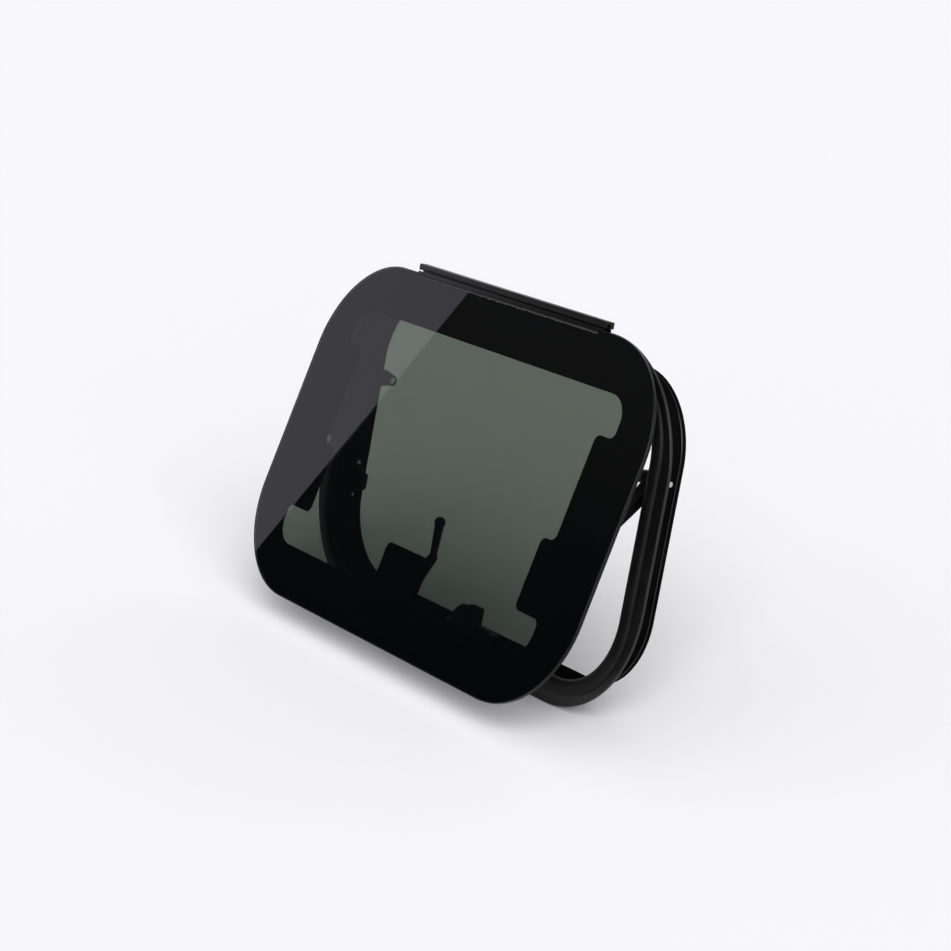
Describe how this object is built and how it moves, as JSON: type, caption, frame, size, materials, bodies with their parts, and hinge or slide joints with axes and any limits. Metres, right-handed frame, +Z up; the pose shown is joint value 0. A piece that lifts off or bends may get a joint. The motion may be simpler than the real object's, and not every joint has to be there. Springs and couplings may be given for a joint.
{
  "type": "caravan window",
  "caption": "Top-hung caravan window of tinted glass with a black printed border, on a bent aluminium frame, held open by stays with thumb knobs and shut by a turn latch",
  "frame": {"origin": "the middle of the opening, on the face of the flange that lies against the wall", "axes": "+X to the right seen from outside, +Y into the caravan, +Z up"},
  "size_m": [0.55, 0.1266, 0.356],
  "materials": {
    "frame_aluminium": "black powder coat",
    "seal_rubber": "matte",
    "hinge_aluminium": "black anodised",
    "tinted_glass": "polished",
    "frit_print": "gloss",
    "black_nylon": "matte",
    "bright_steel": "satin"
  },
  "bodies": {
    "frame": {"frame_ring": "frame_aluminium", "frame_seal": "seal_rubber", "hinge_frame_leaf": "hinge_aluminium", "latch_keeper": "black_nylon", "stay_post_left": "black_nylon", "stay_post_right": "black_nylon", "stay_knob_left": "black_nylon", "stay_knob_right": "black_nylon", "side_lug_left": "black_nylon", "side_lug_right": "black_nylon"},
    "sash": {"glass_pane": "tinted_glass", "frit_border": "frit_print", "hinge_sash_leaf": "hinge_aluminium", "latch_base": "black_nylon", "stay_rail_left": "hinge_aluminium", "stay_rail_right": "hinge_aluminium"},
    "stay_left": {"stay_arm_left": "black_nylon", "stay_pin_left": "bright_steel"},
    "stay_right": {"stay_arm_right": "black_nylon", "stay_pin_right": "bright_steel"},
    "latch": {"latch_lever": "black_nylon"}
  },
  "joints": [
    {"name": "sash_hinge", "type": "hinge", "parent": "frame", "child": "sash", "pos_m": [0, -0.00591, 0.1788], "axis": [-1, 0, 0], "range_deg": [-13.5, 16.5]},
    {"name": "stay_left_pivot", "type": "hinge", "parent": "frame", "child": "stay_left", "pos_m": [-0.23, 0.0195, 0.0545], "axis": [-1, 0, 0], "range_deg": [-34, 41.5]},
    {"name": "stay_right_pivot", "type": "hinge", "parent": "frame", "child": "stay_right", "pos_m": [0.23, 0.0195, 0.0545], "axis": [-1, 0, 0], "range_deg": [-34, 41.5]},
    {"name": "latch_turn", "type": "hinge", "parent": "sash", "child": "latch", "pos_m": [-0.005, -0.05138, -0.10204], "axis": [0, -0.9724, 0.2334], "range_deg": [-9.3, 80.7]}
  ],
  "couplings": [
    {"joint": "stay_left_pivot", "follows": "sash_hinge", "ratio": 2.5},
    {"joint": "stay_right_pivot", "follows": "sash_hinge", "ratio": 2.5}
  ]
}
